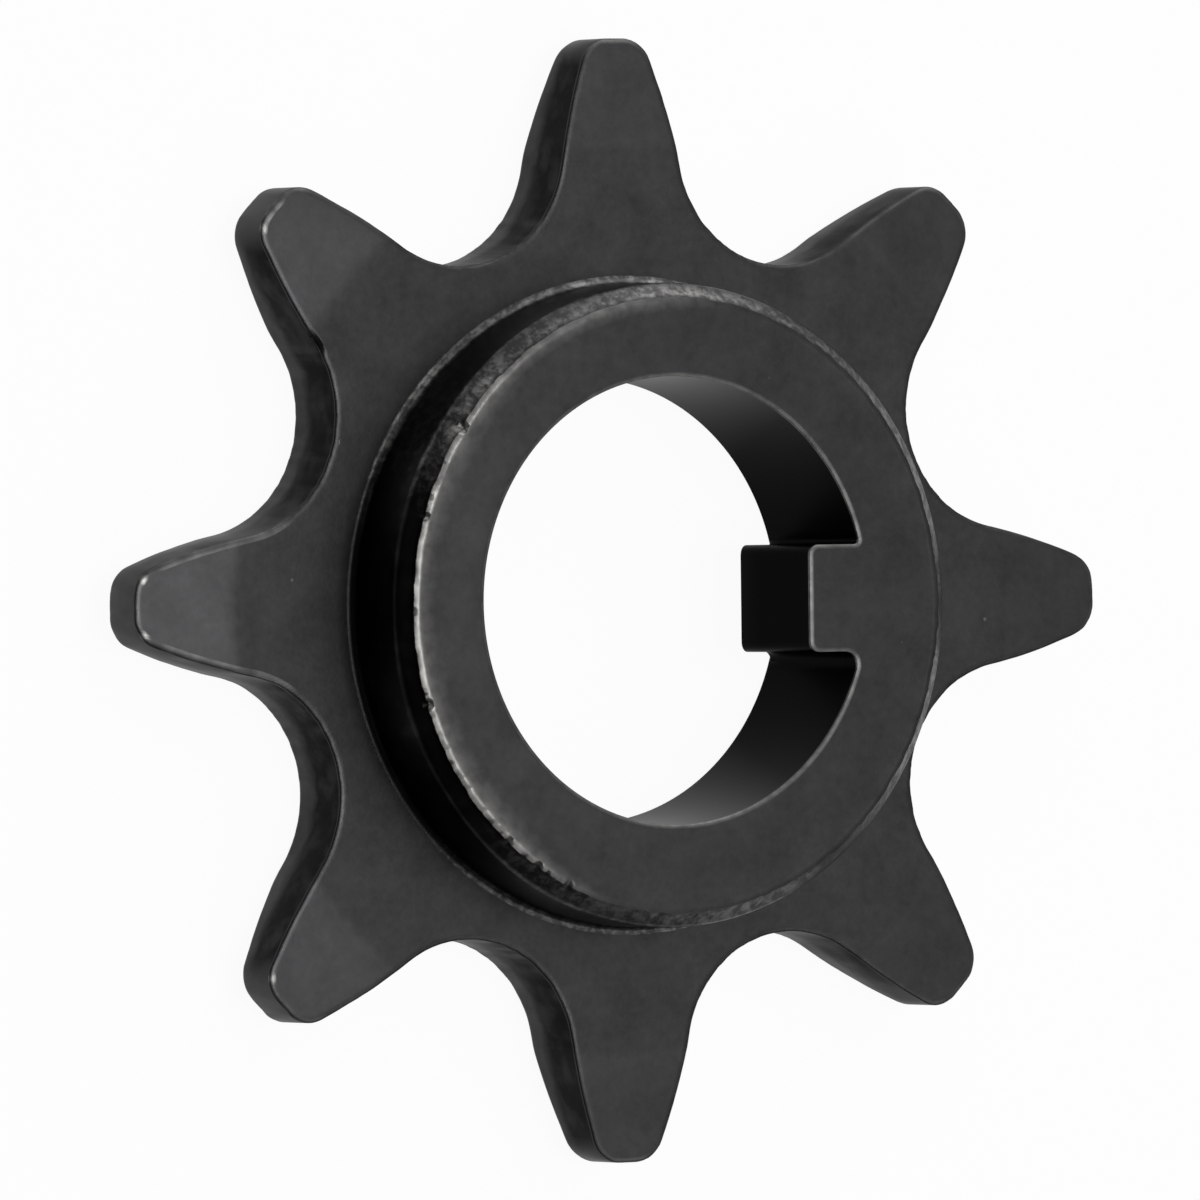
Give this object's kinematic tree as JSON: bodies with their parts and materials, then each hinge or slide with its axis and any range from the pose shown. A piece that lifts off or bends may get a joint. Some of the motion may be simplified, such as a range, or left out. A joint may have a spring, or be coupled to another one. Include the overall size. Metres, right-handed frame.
{
  "type": "chain sprocket",
  "caption": "Small roller-chain sprocket with tall rounded teeth, a hub raised on one side and a bore with a solid key inside it, in blackened steel.",
  "frame": {"origin": "on the bore's axis, at the flat back of the toothed plate, which is the face it lies on", "axes": "+Z along the bore's axis, from the plate's back to the hub's end; +X through the middle of the key and of one tooth"},
  "size_m": [0.0378, 0.0378, 0.006],
  "materials": {
    "blackened_steel": "black oxide, matt and finely grained"
  },
  "bodies": {
    "root": {"sprocket": "blackened_steel"}
  },
  "joints": []
}
